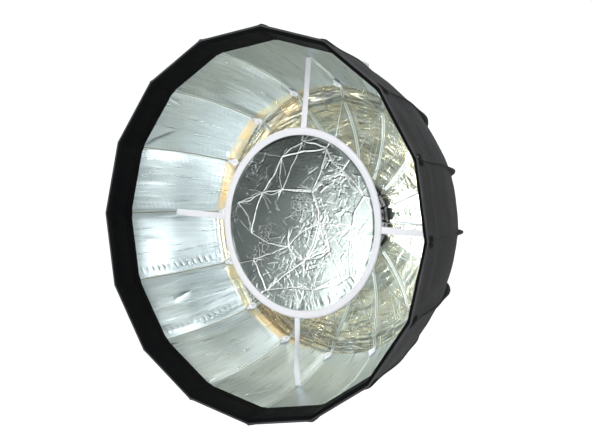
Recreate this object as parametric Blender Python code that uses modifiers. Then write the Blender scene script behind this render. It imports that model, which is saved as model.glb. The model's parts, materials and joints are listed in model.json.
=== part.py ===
"""A folding octabox: a sixteen-rib parabolic studio softbox.

Metres. +Y points back along the lamp's axis, the mouth faces -Y and +Z is up. The origin is
the centre of the mount ring's rear seat. Ribs stand every 22.5 degrees, the first along +X.
Inside one rib's plane, positions are written (r, y): distance from the axis, and row Y.
"""

import bmesh
import bpy
from math import cos, pi, radians, sin
from mathutils import Vector

# ---- driving dimensions ----
RIBS = 16
MOUTH_DIAMETER = 0.850
MOUTH_Y = -0.432
GAP = 0.0003

HINGE = (0.078, -0.022)
ROD_RADIUS = 0.0022
ROD_INSET = 0.0036
ROD_TIP_BACK = 0.004
ROD_START = 0.0027
ROD_BEVEL = 1
EYE_RADIUS = 0.0036
EYE_THICKNESS = 0.0040
EYE_SIDES = 12
WIRE_RADIUS = 0.0010
WIRE_CLEARANCE = 0.0004
WIRE_SIDES = 8
HOLE_SIDES = 10

CLOTH = 0.0025
SEAM = 0.0005
GORE_BULGE = 0.006
GORE_COLUMNS = 4
# The fabric's inner face in a rib's plane, from the hub to the mouth.
WALL = [
    (0.0900, -0.0195),
    (0.1360, -0.0240),
    (0.2080, -0.0495),
    (0.2800, -0.0995),
    (0.3185, -0.1270),
    (0.3765, -0.2540),
    (0.4040, -0.3670),
    (MOUTH_DIAMETER / 2 - CLOTH, MOUTH_Y),
]
STRUT_POINT = 3
BEND_POINT = 4
WALL_STEPS = 2

STRUT_RADIUS = 0.0011
STRUT_START = 0.0024
STRUT_BEVEL = 2
STRUT_SIDE = 0.0046
STRUT_EYE_RADIUS = 0.0031
STRUT_EYE_HOLE = 0.0016
STRUT_EYE_THICKNESS = 0.0026
RIVET_RADIUS = 0.0012
RIVET_LENGTH = 0.0072
RIVET_SIDES = 8

SUPPORT_PIVOT = (0.065, -0.160)
SUPPORT_INNER = 0.056
SUPPORT_OUTER = 0.070
SUPPORT_THICKNESS = 0.012
SUPPORT_SLOT_FLOOR = 0.0605
SUPPORT_SLOT_WIDTH = 0.0050
SUPPORT_CORNER = 0.0012

PLATE_OUTER = 0.076
PLATE_THICKNESS = 0.008
PLATE_CORNER = 0.001
BORE_RADIUS = 0.0435
SPIGOT_RADIUS = 0.0478
SPIGOT_LENGTH = 0.013
LUG_ROOT = 0.0455
LUG_REACH = 0.0535
LUG_WIDTH = 0.020
LUG_THICKNESS = 0.0035
LUG_SET_BACK = 0.001
LUGS = 3

CROWN_INNER = 0.0575
CROWN_OUTER = 0.0865
CROWN_FRONT = -0.034
CROWN_SLOT_WIDTH = 0.0056
CROWN_SLOT_FLOOR = -0.0155
CROWN_SLOT_INNER = 0.071

DISC_Y = -0.263
DISC_RADIUS = 0.2117
DISC_BINDING = 0.0167
BINDING_HALF_THICKNESS = 0.0040
BINDING_CORNER = 0.0024
FOIL_THICKNESS = 0.0014
STRAP_END = (0.3675, -0.2500)
STRAP_WIDTH = 0.016
STRAP_THICKNESS = 0.0016

LATCH_ANGLE = radians(11.25)
LATCH_PIVOT = (0.0546, -0.0160)
LATCH_BARREL = 0.0020
LATCH_BARREL_WIDTH = 0.020
LATCH_WIDTH = 0.014
LATCH_STRIP = 0.0012
LATCH_HOOK_REACH = 0.0065
LATCH_HOOK_LENGTH = 0.0045
LATCH_TAB = 0.009
LATCH_TAB_LEAN = 0.0005

RING_STEPS = 2 * RIBS
DISC_STEPS = 3 * RIBS
MERGE = 0.00001
OVERCUT = 0.01
SHARP = radians(40)


# ---- scene ----
def empty_scene():
    for thing in list(bpy.data.objects):
        bpy.data.objects.remove(thing)


def collection(name):
    made = bpy.data.collections.new(name)
    bpy.context.scene.collection.children.link(made)
    return made


def material(name, colour, roughness, metallic=0.0):
    made = bpy.data.materials.new(name)
    made.use_nodes = True
    shader = made.node_tree.nodes["Principled BSDF"]
    shader.inputs["Base Color"].default_value = (*colour, 1.0)
    shader.inputs["Roughness"].default_value = roughness
    shader.inputs["Metallic"].default_value = metallic
    return made


empty_scene()
PARTS = collection("octabox")
CUTTERS = collection("cutters")


# ---- helpers ----
def add_object(name, data, home=PARTS):
    made = bpy.data.objects.new(name, data)
    home.objects.link(made)
    return made


def empty(name, location, angle=0.0, parent=None):
    """An empty on a joint's axis. Its X is the rib plane's outward direction and its Y is row Y."""
    made = add_object(name, None)
    made.location = location
    made.rotation_euler = (0.0, -angle, 0.0)
    made.parent = parent
    return made


def paint(mesh, look):
    mesh.materials.clear()
    mesh.materials.append(look)


def smooth(mesh):
    mesh.shade_smooth()
    mesh.set_sharp_from_angle(angle=SHARP)


def solid_from_curve(curve_data):
    """A closed mesh from a curve, with its loose caps welded."""
    shape = add_object("curve", curve_data, CUTTERS)
    graph = bpy.context.evaluated_depsgraph_get()
    mesh = bpy.data.meshes.new_from_object(shape.evaluated_get(graph))
    bpy.data.objects.remove(shape)
    work = bmesh.new()
    work.from_mesh(mesh)
    bmesh.ops.remove_doubles(work, verts=work.verts, dist=MERGE)
    work.to_mesh(mesh)
    work.free()
    return mesh


def rod(points, radius, bevel):
    """A round rod along points, as a POLY curve with filled caps."""
    curve = bpy.data.curves.new("rod", "CURVE")
    curve.dimensions = "3D"
    curve.bevel_depth = radius
    curve.bevel_resolution = bevel
    curve.use_fill_caps = True
    line = curve.splines.new("POLY")
    line.points.add(len(points) - 1)
    for place, point in zip(line.points, points):
        place.co = (*point, 1.0)
    return curve


def outline(points, thickness):
    """A flat outline in the rib's plane, as thick as stated across it."""
    curve = bpy.data.curves.new("outline", "CURVE")
    curve.dimensions = "2D"
    curve.fill_mode = "BOTH"
    curve.extrude = thickness / 2
    line = curve.splines.new("POLY")
    line.points.add(len(points) - 1)
    for place, (r, y) in zip(line.points, points):
        place.co = (r, y, 0.0, 1.0)
    line.use_cyclic_u = True
    return curve


def drum(radius, low, high, centre, sides):
    """A cylinder across the rib's plane, from low to high along its normal."""
    work = bmesh.new()
    bmesh.ops.create_cone(
        work, cap_ends=True, segments=sides, radius1=radius, radius2=radius, depth=high - low
    )
    bmesh.ops.translate(work, verts=work.verts, vec=(*centre, (low + high) / 2))
    mesh = bpy.data.meshes.new("drum")
    work.to_mesh(mesh)
    work.free()
    return mesh


def block(low, high):
    """A box between two corners."""
    work = bmesh.new()
    bmesh.ops.create_cube(work, size=1.0)
    size = Vector(high) - Vector(low)
    bmesh.ops.scale(work, verts=work.verts, vec=size)
    bmesh.ops.translate(work, verts=work.verts, vec=(Vector(low) + Vector(high)) / 2)
    mesh = bpy.data.meshes.new("block")
    work.to_mesh(mesh)
    work.free()
    return mesh


def combine(piece, other_mesh, operation, angle=0.0):
    """Adds a Boolean of piece with a guide, which stands in the cutters' collection."""
    guide = add_object(f"{piece.name}_{operation.lower()}", other_mesh, CUTTERS)
    guide.parent = piece.parent
    guide.rotation_euler = (0.0, -angle, 0.0)
    guide.hide_render = True
    guide.display_type = "WIRE"
    step = piece.modifiers.new(operation.title(), "BOOLEAN")
    step.operation = operation
    step.solver = "EXACT"
    step.object = guide


def finished_mesh(piece):
    """The piece's mesh with its modifiers applied."""
    graph = bpy.context.evaluated_depsgraph_get()
    return bpy.data.meshes.new_from_object(piece.evaluated_get(graph))


def turned(name, profile, steps, look):
    """A closed (r, y) profile turned about row Y, with its flats, not its corners, facing the ribs."""
    corner = 1 / cos(pi / steps)
    mesh = bpy.data.meshes.new(name)
    points = [(r * corner, 0.0, y) for r, y in profile]
    count = len(points)
    mesh.from_pydata(points, [(n, (n + 1) % count) for n in range(count)], [])
    paint(mesh, look)
    piece = add_object(name, mesh)
    piece.rotation_euler = (-pi / 2, 0.0, 0.0)
    screw = piece.modifiers.new("Turn", "SCREW")
    screw.axis = "Z"
    screw.steps = steps
    screw.render_steps = steps
    screw.use_merge_vertices = True
    screw.merge_threshold = MERGE
    piece.delta_rotation_euler = (0.0, pi / steps, 0.0)
    return piece


def rounded(r_low, r_high, y_low, y_high, corner):
    """A rectangle with cut corners, run down its outer side."""
    return [
        (r_high, y_high - corner),
        (r_high, y_low + corner),
        (r_high - corner, y_low),
        (r_low + corner, y_low),
        (r_low, y_low + corner),
        (r_low, y_high - corner),
        (r_low + corner, y_high),
        (r_high - corner, y_high),
    ]


# ---- the wall's shape ----
def spline(points, steps):
    """A Catmull-Rom curve through the points, with so many steps in each span."""
    ends = [points[0], *points, points[-1]]
    out = []
    for n in range(1, len(ends) - 2):
        a, b, c, d = (Vector(p) for p in ends[n - 1 : n + 3])
        for k in range(steps):
            t = k / steps
            out.append(
                0.5
                * (
                    2 * b
                    + (c - a) * t
                    + (2 * a - 5 * b + 4 * c - d) * t**2
                    + (3 * b - a - 3 * c + d) * t**3
                )
            )
    return [*out, Vector(points[-1])]


def offset(points, distance):
    """The line moved out of the box, or into it where distance is negative."""
    out = []
    for n, point in enumerate(points):
        along = points[min(n + 1, len(points) - 1)] - points[max(n - 1, 0)]
        outward = Vector((-along.y, along.x)).normalized()
        out.append(point + outward * distance)
    return out


WALL_LINE = spline(WALL, WALL_STEPS)
ROD_LINE = offset(WALL_LINE, -ROD_INSET)
STRUT_NODE = ROD_LINE[STRUT_POINT * WALL_STEPS]
RIB_ANGLES = [2 * pi * n / RIBS for n in range(RIBS)]


def in_plane(point, angle):
    """A (r, y) point of the rib plane at angle, in the row frame."""
    return Vector((point[0] * cos(angle), point[1], point[0] * sin(angle)))


# ---- hub ----
def make_mount_ring(look):
    """The plate that the lamp's bayonet holds: a ring, its spigot and its lugs."""
    profile = [
        (SPIGOT_RADIUS, SPIGOT_LENGTH),
        (SPIGOT_RADIUS, 0.0),
        (PLATE_OUTER - PLATE_CORNER, 0.0),
        (PLATE_OUTER, -PLATE_CORNER),
        (PLATE_OUTER, -PLATE_THICKNESS),
        (BORE_RADIUS, -PLATE_THICKNESS),
        (BORE_RADIUS, SPIGOT_LENGTH),
    ]
    ring = turned("mount_ring", profile, RING_STEPS, look)
    back = SPIGOT_LENGTH - LUG_SET_BACK
    low = (LUG_ROOT, back - LUG_THICKNESS, -LUG_WIDTH / 2)
    high = (LUG_REACH, back, LUG_WIDTH / 2)
    for n in range(LUGS):
        combine(ring, block(low, high), "UNION", 2 * pi * n / LUGS + pi / 2)


def make_rib_crown(look):
    """The ring that holds the hinge wire in a groove and the ribs' eyes in its slots."""
    r, y = HINGE
    groove = WIRE_RADIUS + WIRE_CLEARANCE
    profile = [
        (CROWN_OUTER, -PLATE_THICKNESS - GAP),
        (CROWN_OUTER, CROWN_FRONT),
        (r + groove, CROWN_FRONT),
        (r + groove, y + groove),
        (r - groove, y + groove),
        (r - groove, CROWN_FRONT),
        (CROWN_INNER, CROWN_FRONT),
        (CROWN_INNER, -PLATE_THICKNESS - GAP),
    ]
    crown = turned("rib_crown", profile, RING_STEPS, look)
    half = CROWN_SLOT_WIDTH / 2
    low = (CROWN_SLOT_INNER, CROWN_FRONT - OVERCUT, -half)
    high = (CROWN_OUTER + OVERCUT, CROWN_SLOT_FLOOR, half)
    for angle in RIB_ANGLES:
        combine(crown, block(low, high), "DIFFERENCE", angle)


def make_hinge_wire(look):
    """The ring of spring wire that every rib turns on."""
    r, y = HINGE
    corners = [(1 - 2 * n) * pi / WIRE_SIDES for n in range(WIRE_SIDES)]
    profile = [(r + WIRE_RADIUS * cos(a), y + WIRE_RADIUS * sin(a)) for a in corners]
    turned("hinge_wire", profile, RING_STEPS, look)


def make_latch(name, angle, look):
    """A sprung strip from the hub, whose hook holds the support ring back."""
    r, y = LATCH_PIVOT
    hook_back = SUPPORT_PIVOT[1] - SUPPORT_THICKNESS / 2 - GAP
    front = hook_back - LATCH_HOOK_LENGTH
    tip = front - LATCH_TAB
    inner = -LATCH_STRIP
    points = [
        (0.0, LATCH_BARREL),
        (0.0, hook_back - y),
        (LATCH_HOOK_REACH, hook_back - y),
        (0.0, front - y),
        (-LATCH_TAB_LEAN, tip - y),
        (inner - LATCH_TAB_LEAN, tip - y),
        (inner, front - y),
        (inner, LATCH_BARREL),
    ]
    pivot = empty(name + "_pivot", in_plane(LATCH_PIVOT, angle), angle)
    strip = solid_from_curve(outline(points, LATCH_WIDTH))
    paint(strip, look)
    latch = add_object(name, strip)
    latch.parent = pivot
    half = LATCH_BARREL_WIDTH / 2
    combine(latch, drum(LATCH_BARREL, -half, half, (inner / 2, 0.0), HOLE_SIDES), "UNION")


# ---- ribs, struts and gores ----
def rib_mesh(look):
    """A bent rod with the eye it hinges by and the rivet that carries its strut."""
    centre = Vector(HINGE)
    line = [centre + Vector((ROD_START, 0.0))]
    line += ROD_LINE[1:-1]
    line.append(ROD_LINE[-1] + Vector((0.0, ROD_TIP_BACK)))
    local = [(*(p - centre), 0.0) for p in line]
    rib = add_object("rib", solid_from_curve(rod(local, ROD_RADIUS, ROD_BEVEL)))
    half = EYE_THICKNESS / 2
    node = STRUT_NODE - centre
    combine(rib, drum(EYE_RADIUS, -half, half, (0.0, 0.0), EYE_SIDES), "UNION")
    combine(rib, drum(RIVET_RADIUS, 0.0, RIVET_LENGTH, node, RIVET_SIDES), "UNION")
    hole = WIRE_RADIUS + WIRE_CLEARANCE
    combine(rib, drum(hole, -OVERCUT, OVERCUT, (0.0, 0.0), HOLE_SIDES), "DIFFERENCE")
    mesh = finished_mesh(rib)
    bpy.data.objects.remove(rib)
    smooth(mesh)
    paint(mesh, look)
    return mesh


def strut_mesh(look):
    """A straight rod with the eye that turns on a rib's rivet."""
    end = Vector(SUPPORT_PIVOT) - STRUT_NODE
    towards = end.normalized()
    start = towards * STRUT_START
    line = [(*start, STRUT_SIDE), (*end, STRUT_SIDE)]
    strut = add_object("strut", solid_from_curve(rod(line, STRUT_RADIUS, STRUT_BEVEL)))
    half = STRUT_EYE_THICKNESS / 2
    low, high = STRUT_SIDE - half, STRUT_SIDE + half
    combine(strut, drum(STRUT_EYE_RADIUS, low, high, (0.0, 0.0), EYE_SIDES), "UNION")
    hole = drum(STRUT_EYE_HOLE, low - OVERCUT, high + OVERCUT, (0.0, 0.0), HOLE_SIDES)
    combine(strut, hole, "DIFFERENCE")
    mesh = finished_mesh(strut)
    bpy.data.objects.remove(strut)
    smooth(mesh)
    paint(mesh, look)
    return mesh


def gore_mesh(look):
    """One tapered panel of the skin between two ribs, bowed outwards between them."""
    along = len(WALL_LINE) - 1
    outward = [b - a for a, b in zip(WALL_LINE, offset(WALL_LINE, 1.0))]
    half = pi / RIBS
    work = bmesh.new()
    bmesh.ops.create_grid(work, x_segments=along, y_segments=GORE_COLUMNS, size=0.5)
    for corner in work.verts:
        n = round((corner.co.x + 0.5) * along)
        side = corner.co.y * 2
        r, y = WALL_LINE[n]
        chord = r * sin(half) - SEAM
        bow = GORE_BULGE * (1 - side**2) * min(1.0, (r / WALL[BEND_POINT][0]) ** 2)
        middle = r * cos(half) + bow * outward[n].x
        place = Vector((middle, chord * side)) - Vector((HINGE[0] * cos(half), -HINGE[0] * sin(half)))
        turned_x = place.x * cos(half) - place.y * sin(half)
        turned_z = place.x * sin(half) + place.y * cos(half)
        corner.co = (turned_x, y - HINGE[1] + bow * outward[n].y, turned_z)
    bmesh.ops.reverse_faces(work, faces=work.faces)
    mesh = bpy.data.meshes.new("gore")
    work.to_mesh(mesh)
    work.free()
    paint(mesh, look)
    smooth(mesh)
    return mesh


def add_gore(name, mesh, parent):
    gore = add_object(name, mesh)
    gore.parent = parent
    skin = gore.modifiers.new("Cloth", "SOLIDIFY")
    skin.thickness = CLOTH
    skin.offset = 1.0


def make_ribs(steel, wire, cloth):
    rib_shape, strut_shape, gore_shape = rib_mesh(steel), strut_mesh(wire), gore_mesh(cloth)
    for n, angle in enumerate(RIB_ANGLES, 1):
        hinge = empty(f"rib_hinge_{n:02d}", in_plane(HINGE, angle), angle)
        rib = add_object(f"rib_{n:02d}", rib_shape)
        rib.parent = hinge
        add_gore(f"gore_{n:02d}", gore_shape, hinge)
        pivot = empty(f"strut_hinge_{n:02d}", in_plane(STRUT_NODE, angle), angle)
        strut = add_object(f"strut_{n:02d}", strut_shape)
        strut.parent = pivot


def make_support_ring(look):
    """The ring that the struts meet. Its slots are open outwards and at both faces."""
    r, y = SUPPORT_PIVOT
    half = SUPPORT_THICKNESS / 2
    profile = rounded(SUPPORT_INNER, SUPPORT_OUTER, y - half, y + half, SUPPORT_CORNER)
    ring = turned("support_ring", profile, RING_STEPS, look)
    side = SUPPORT_SLOT_WIDTH / 2
    low = (SUPPORT_SLOT_FLOOR, y - half - OVERCUT, STRUT_SIDE - side)
    high = (SUPPORT_OUTER + OVERCUT, y + half + OVERCUT, STRUT_SIDE + side)
    for angle in RIB_ANGLES:
        combine(ring, block(low, high), "DIFFERENCE", angle)


# ---- deflector ----
def make_deflector(foil_look, binding_look, strap_look):
    inner = DISC_RADIUS - DISC_BINDING
    half = BINDING_HALF_THICKNESS
    profile = rounded(inner, DISC_RADIUS, DISC_Y - half, DISC_Y + half, BINDING_CORNER)
    turned("deflector_hoop", profile, DISC_STEPS, binding_look)
    foil = drum(inner - GAP, -FOIL_THICKNESS / 2, FOIL_THICKNESS / 2, (0.0, 0.0), DISC_STEPS)
    paint(foil, foil_look)
    disc = add_object("deflector_foil", foil)
    disc.rotation_euler = (-pi / 2, 0.0, 0.0)
    disc.location = (0.0, DISC_Y, 0.0)
    start = (DISC_RADIUS + 2 * GAP, DISC_Y)
    half = STRAP_THICKNESS / 2
    points = [
        (start[0], start[1] - half),
        (STRAP_END[0], STRAP_END[1] - half),
        (STRAP_END[0], STRAP_END[1] + half),
        (start[0], start[1] + half),
    ]
    for name, angle in (("right", 0.0), ("top", pi / 2), ("left", pi), ("bottom", -pi / 2)):
        strap = add_object(f"deflector_strap_{name}", outline(points, STRAP_WIDTH))
        strap.rotation_euler = (0.0, -angle, 0.0)
        paint(strap.data, strap_look)


# ---- the assembly ----
def main():
    black_metal = material("black_metal", (0.03, 0.03, 0.032), 0.45, 0.6)
    black_plastic = material("black_plastic", (0.02, 0.02, 0.022), 0.5)
    steel = material("spring_steel", (0.55, 0.57, 0.58), 0.3, 1.0)
    cloth = material("lined_cloth", (0.45, 0.47, 0.46), 0.5, 0.3)
    foil = material("foil", (0.6, 0.62, 0.6), 0.15, 1.0)
    white = material("white_binding", (0.85, 0.85, 0.88), 0.8)
    make_mount_ring(black_metal)
    make_rib_crown(black_plastic)
    make_hinge_wire(steel)
    make_ribs(steel, steel, cloth)
    make_support_ring(black_plastic)
    make_latch("latch_right", LATCH_ANGLE, steel)
    make_latch("latch_left", LATCH_ANGLE + pi, steel)
    make_deflector(foil, white, white)


main()
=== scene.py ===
"""Looks of the folding octabox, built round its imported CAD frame.

Metres, in the CAD's frame: +Y back to the lamp, the mouth faces -Y, +Z up. A place on the
skin is given by s, the distance along a rib's line from the hub to the mouth, by t, from 0
at one rib to 1 at the next, and by the height above the lining, positive outwards.
"""

import json
from math import cos, pi, radians, sin, tan

import bpy
import numpy as np
from mathutils import Matrix, Vector


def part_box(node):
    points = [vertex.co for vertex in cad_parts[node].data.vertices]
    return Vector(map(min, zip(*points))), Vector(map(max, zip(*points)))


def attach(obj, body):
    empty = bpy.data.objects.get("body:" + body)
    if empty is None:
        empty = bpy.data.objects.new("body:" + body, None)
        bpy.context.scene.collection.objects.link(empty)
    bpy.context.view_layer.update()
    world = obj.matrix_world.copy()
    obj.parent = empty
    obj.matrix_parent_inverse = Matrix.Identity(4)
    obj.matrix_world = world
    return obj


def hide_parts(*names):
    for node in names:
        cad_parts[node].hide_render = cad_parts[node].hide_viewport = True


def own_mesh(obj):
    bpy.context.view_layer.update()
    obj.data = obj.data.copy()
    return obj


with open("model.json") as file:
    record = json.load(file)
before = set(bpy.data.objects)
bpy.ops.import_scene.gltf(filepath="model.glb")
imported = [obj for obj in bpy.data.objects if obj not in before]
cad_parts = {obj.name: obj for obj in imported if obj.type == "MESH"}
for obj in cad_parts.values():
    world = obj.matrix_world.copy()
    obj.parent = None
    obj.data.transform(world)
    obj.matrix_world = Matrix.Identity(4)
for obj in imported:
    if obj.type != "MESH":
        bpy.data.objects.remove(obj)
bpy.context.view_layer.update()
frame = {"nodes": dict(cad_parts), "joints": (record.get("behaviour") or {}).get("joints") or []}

JOINTS = {joint["name"]: joint for joint in frame["joints"]}
HINGES = sorted(name for name in JOINTS if name.startswith("rib_hinge"))
RIBS = len(HINGES)
HALF = pi / RIBS
RIB_IDS = [name[-2:] for name in HINGES]
RIB_ANGLES = [2 * pi * n / RIBS for n in range(RIBS)]
STRUT_NODE = (JOINTS["strut_hinge_01"]["pos_m"][0], JOINTS["strut_hinge_01"]["pos_m"][1])
MOUTH_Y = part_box("gore_01")[0][1]
DISC_LOW, DISC_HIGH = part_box("deflector_hoop")
DISC_RADIUS = (DISC_HIGH[0] - DISC_LOW[0]) / 2
DISC_Y = (DISC_LOW[1] + DISC_HIGH[1]) / 2

# The lining's line in a rib's plane, as (distance from the axis, Y), from the hub to the mouth.
WALL = [
    (0.0900, -0.0195),
    (0.1360, -0.0240),
    (0.2080, -0.0495),
    (0.2800, -0.0995),
    (0.3185, -0.1270),
    (0.3765, -0.2540),
    (0.4040, -0.3670),
    (0.4225, MOUTH_Y),
]
DISH_POINT, CLIP_POINT, BAND_POINT = 2, 4, 6
LINING_LIFT = -0.0066
CLOTH = 0.0025


# ---- the wall's line ----
def fine_line(points, steps):
    """A Catmull-Rom curve through the points, as an array, with so many steps from each to the next."""
    ends = np.array([points[0], *points, points[-1]])
    out = []
    for n in range(1, len(ends) - 2):
        a, b, c, d = ends[n - 1 : n + 3]
        t = (np.arange(steps) / steps)[:, None]
        square, cube = t**2, t**3
        curve = 2 * b + (c - a) * t + (2 * a - 5 * b + 4 * c - d) * square
        out.append(0.5 * (curve + (3 * b - a - 3 * c + d) * cube))
    return np.vstack([*out, points[-1]])


LINE_STEPS = 60
LINE = fine_line(WALL, LINE_STEPS)
ARC = np.concatenate([[0.0], np.cumsum(np.linalg.norm(np.diff(LINE, axis=0), axis=1))])
SLOPE = np.gradient(LINE, axis=0)
OUTWARD = np.stack([-SLOPE[:, 1], SLOPE[:, 0]], 1)
OUTWARD /= np.linalg.norm(OUTWARD, axis=1)[:, None]
S_DISH, S_CLIP, S_BAND = (ARC[LINE_STEPS * n] for n in (DISH_POINT, CLIP_POINT, BAND_POINT))
S_BAND += 0.010
S_MOUTH = ARC[-1]


def on_line(s):
    """(r, y) and the outward direction (in r and y) at the distances s along the wall."""
    s = np.asarray(s, float)
    place = [np.interp(s, ARC, LINE[:, k]) for k in (0, 1)]
    away = [np.interp(s, ARC, OUTWARD[:, k]) for k in (0, 1)]
    length = np.hypot(*away)
    return place[0], place[1], away[0] / length, away[1] / length


def s_of_radius(radius):
    return float(np.interp(radius, LINE[:, 0], ARC))


# ---- noise ----
def lattice(ix, iy, seed):
    """A fixed pseudo-random number from 0 to 1 for each whole-number place."""
    h = ix.astype(np.int64) * 374761393 + iy.astype(np.int64) * 668265263 + seed * 1442695041
    h = h & 0xFFFFFFFF
    h = ((h ^ (h >> 13)) * 1274126177) & 0xFFFFFFFF
    return ((h ^ (h >> 16)) & 0xFFFFFF) / float(0xFFFFFF)


def noise(x, y, seed):
    """Smooth noise from -1 to 1 whose bumps are about one unit wide."""
    ix, iy = np.floor(x), np.floor(y)
    fx, fy = x - ix, y - iy
    ux, uy = fx * fx * (3 - 2 * fx), fy * fy * (3 - 2 * fy)
    low = lattice(ix, iy, seed) * (1 - ux) + lattice(ix + 1, iy, seed) * ux
    high = lattice(ix, iy + 1, seed) * (1 - ux) + lattice(ix + 1, iy + 1, seed) * ux
    return 2 * (low * (1 - uy) + high * uy) - 1


def layered(x, y, seed, layers=3):
    """Noise with finer and fainter noise on top of it."""
    return sum(noise(x * 2**k, y * 2**k, seed + 17 * k) / 2**k for k in range(layers)) / 1.6


def ease(x, low, high):
    """0 below low, 1 above high and a smooth step between."""
    t = np.clip((x - low) / (high - low), 0, 1)
    return t * t * (3 - 2 * t)


# ---- the skin ----
def skin_places(gore, s, t, height):
    """Row positions of skin places: gore n lies between ribs n and n + 1. Height is outwards."""
    r, y, away_r, away_y = on_line(s)
    across = r * sin(HALF) * (2 * t - 1)
    inner = r * cos(HALF)
    angle = 2 * HALF * gore + HALF + np.arctan2(across, inner)
    radius = np.hypot(across, inner) + away_r * height
    return np.stack([radius * np.cos(angle), y + away_y * height, radius * np.sin(angle)], -1)


def width_at(s):
    return 2 * on_line(s)[0] * sin(HALF)


# The gores with a row of short puckers beside their later seam.
PUCKERED = (8, 9)
# The gores with strong gathers across their width, just in front of the clips.
GATHERED = (8, 9, 10, 15, 0, 1, 2)
# Creases pressed into the lining: gore, start and end as (s, t), depth, width and how dark their
# painted shade is.
CREASES = [
    (6, S_BAND, 0.97, S_BAND - 0.085, 0.62, 0.0048, 0.0036, 1.0),
    (6, S_BAND - 0.005, 0.12, S_BAND - 0.060, 0.22, 0.0006, 0.003, 0.3),
    (5, S_BAND - 0.004, 0.95, S_BAND - 0.03, 0.85, -0.0010, 0.003, 0.5),
    (8, S_BAND - 0.03, 0.35, S_BAND - 0.10, 0.45, 0.0006, 0.003, 0.3),
    (9, S_BAND - 0.075, 0.42, S_BAND - 0.150, 0.30, -0.0008, 0.004, 0.6),
    (10, S_BAND - 0.004, 0.10, S_BAND - 0.030, 0.14, -0.0012, 0.004, 0.8),
    (10, S_BAND - 0.004, 0.93, S_BAND - 0.040, 0.90, -0.0012, 0.004, 0.7),
    (11, S_BAND - 0.02, 0.55, S_BAND - 0.10, 0.75, 0.0008, 0.004, 0.3),
    (4, S_BAND - 0.02, 0.30, S_BAND - 0.09, 0.45, 0.0006, 0.004, 0.2),
]


def crease(s, t, s_from, t_from, s_to, t_to, wide):
    """A ridge between two skin places that fades towards its ends, as a share of its height."""
    middle_width = float(width_at((s_from + s_to) / 2))
    ds, dv = s_to - s_from, (t_to - t_from) * middle_width
    long = np.hypot(ds, dv)
    ps, pv = s - s_from, (t - t_from) * middle_width
    along = (ps * ds + pv * dv) / long**2
    aside = (ps * dv - pv * ds) / long
    fade = ease(along, -0.05, 0.10) * (1 - ease(along, 0.45, 1.0))
    return np.exp(-((aside / (wide * (1.3 - 0.7 * np.clip(along, 0, 1)))) ** 2)) * fade


def lining_height(gore, s, t):
    """The lining's wrinkles: lengthwise on the wall, crosswise and deep in the dish."""
    v = (t - 0.5) * width_at(s)
    edge = np.minimum(t, 1 - t) * width_at(s)
    held = ease(edge, 0.003, 0.022)
    wall = ease(s, S_CLIP - 0.004, S_CLIP + 0.012)
    dish = 1 - ease(s, S_CLIP - 0.016, S_CLIP - 0.002)
    near_clip = np.exp(-(((s - S_CLIP - 0.02) / 0.035) ** 2))
    long_folds = 0.00042 * layered(s / 0.13 + 0.5 * v / 0.03, v / 0.019, 11 + gore)
    streaked = ease(noise(s / 0.05, v / 0.04, 41 + gore), -0.1, 0.7)
    streaks = 0.00009 * noise(s / 0.05, v / 0.005, 31 + gore) * streaked
    ribbing = 0.00016 * noise(s / 0.0045, v / 0.07, 51 + gore) * near_clip
    gathered = np.exp(-(((s - S_CLIP - 0.014) / 0.017) ** 2))
    gathers = gathered * noise(s / 0.0055, v / 0.11, 61 + gore)
    ribbing = ribbing + (0.0008 if gore in GATHERED else 0.0002) * gathers
    slack = 0.0012 * noise(s / 0.085, v / 0.05, 71 + gore)
    pucker_size = 0.5 + 0.5 * noise(s / 0.05, t * 0 + gore * 3.1, 91)
    beside_seam = np.exp(-edge / 0.010) * ease(edge, 0.0015, 0.005)
    pucker = 0.0006 * np.sin(2 * pi * s / 0.013 + 40 * t) * beside_seam
    folds = long_folds + streaks + ribbing + slack + pucker * pucker_size
    folds = folds - 0.0013 * pucker_row(gore, s, t)
    for gore_number, *ends, deep, wide, _ in CREASES:
        if gore_number == gore:
            folds = folds + deep * crease(s, t, *ends, wide)
    on_wall = folds * wall
    cross_folds = 0.0026 * layered(s / 0.021 + v / 0.12, v / 0.13, 131 + gore)
    close = 0.35 + 0.65 * np.exp(-(((s - S_CLIP + 0.035) / 0.04) ** 2))
    sharp = np.abs(noise(s / 0.009 - v / 0.05, v / 0.075, 151 + gore)) ** 0.7 - 0.4
    sharp_folds = 0.0024 * sharp * close
    in_dish = (cross_folds + sharp_folds) * dish * ease(s, 0.0, 0.03)
    bow = 0.0034 * np.sin(pi * t) * ease(s, 0.0, 0.1) * (1 - ease(s, S_BAND, S_MOUTH))
    return LINING_LIFT + bow + held * (on_wall + in_dish)


def pucker_row(gore, s, t):
    """Short dents in a row beside a seam, from 0 to 1."""
    aside = (1 - t) * width_at(s) - 0.021
    row = np.exp(-((aside / 0.0055) ** 2)) * ease(s, S_CLIP + 0.03, S_CLIP + 0.06)
    dashes = (0.5 + 0.5 * np.sin(2 * pi * s / 0.0165 + 25 * t)) ** 3
    return row * dashes * (0.6 + 0.4 * noise(s / 0.03, t * 0, 95 + gore)) * (gore in PUCKERED)


def lining_painted_shade(gore, s, t):
    """Painted shade in the sharp creases and dents, from 0 to 1."""
    dark = 0.8 * pucker_row(gore, s, t)
    for gore_number, *ends, _, wide, depth in CREASES:
        if gore_number == gore:
            dark = np.maximum(dark, depth * crease(s, t, *ends, 0.6 * wide))
    return np.clip(dark, 0, 1)


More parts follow.
